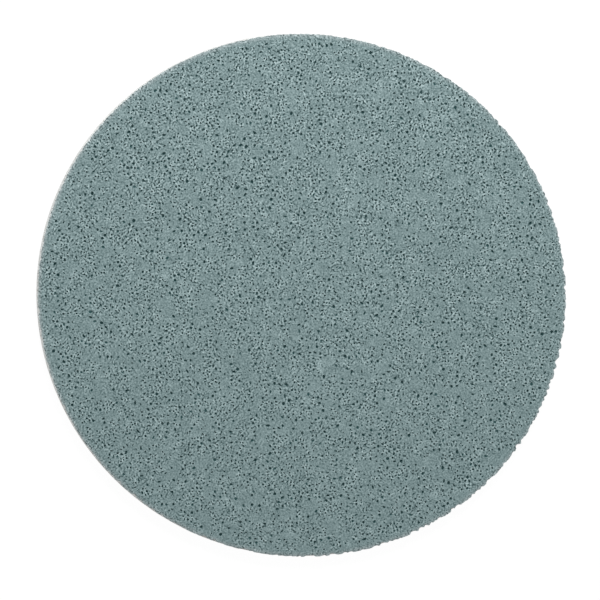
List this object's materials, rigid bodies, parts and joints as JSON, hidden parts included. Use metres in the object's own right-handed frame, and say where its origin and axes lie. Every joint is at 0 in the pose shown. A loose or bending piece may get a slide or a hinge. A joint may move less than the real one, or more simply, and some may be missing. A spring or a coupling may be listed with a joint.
{
  "type": "foam abrasive disc",
  "caption": "Round foam-backed abrasive disc for fine sanding, with a porous mineral-coated face and a loop back for a hook-faced sander pad.",
  "frame": {"origin": "centre of the loop back, on the surface the disc lies on", "axes": "+Z along the disc's axis, out of the abrasive face; +X and +Y lie in the back face, in no special direction because the disc is round"},
  "size_m": [0.15, 0.15, 0.0058],
  "materials": {
    "abrasive_coat": "matte",
    "foam_pad": "matte",
    "loop_backing": "matte"
  },
  "bodies": {
    "root": {"abrasive_coat": "abrasive_coat", "foam_pad": "foam_pad", "loop_backing": "loop_backing"}
  },
  "joints": []
}
